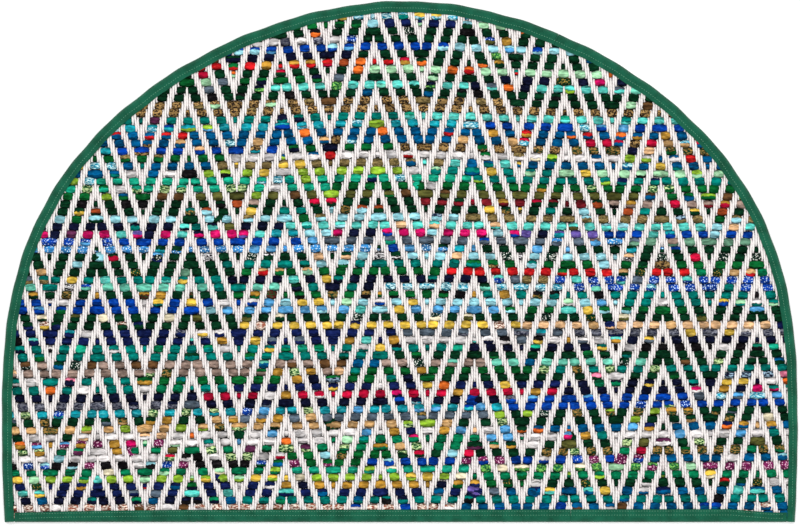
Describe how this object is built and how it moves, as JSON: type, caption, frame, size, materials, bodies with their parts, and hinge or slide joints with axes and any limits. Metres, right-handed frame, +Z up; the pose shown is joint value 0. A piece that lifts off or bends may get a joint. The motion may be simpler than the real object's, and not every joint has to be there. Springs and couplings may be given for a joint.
{
  "type": "chindi rug",
  "caption": "Half-round woven rag rug that lies flat on a floor, cotton warp in a zigzag over rag weft, its edge bound with folded tape.",
  "frame": {"origin": "centre of the bounding box, on the floor that the rug lies on", "axes": "+X along the straight edge, +Y towards the top of the arch, +Z up out of the face"},
  "size_m": [0.9137, 0.598, 0.008],
  "materials": {
    "rag_weave": "rag strips of printed and dyed cotton, many colours, matte",
    "warp_cotton": "natural white cotton string, matte",
    "binding_tape": "green plain-weave cotton bias tape, matte",
    "sewing_thread": "pale green-grey sewing thread"
  },
  "bodies": {
    "root": {"woven_field": "rag_weave", "binding_arch_left": "binding_tape", "binding_arch_right": "binding_tape", "binding_straight_left": "binding_tape", "binding_straight_right": "binding_tape"}
  },
  "joints": []
}
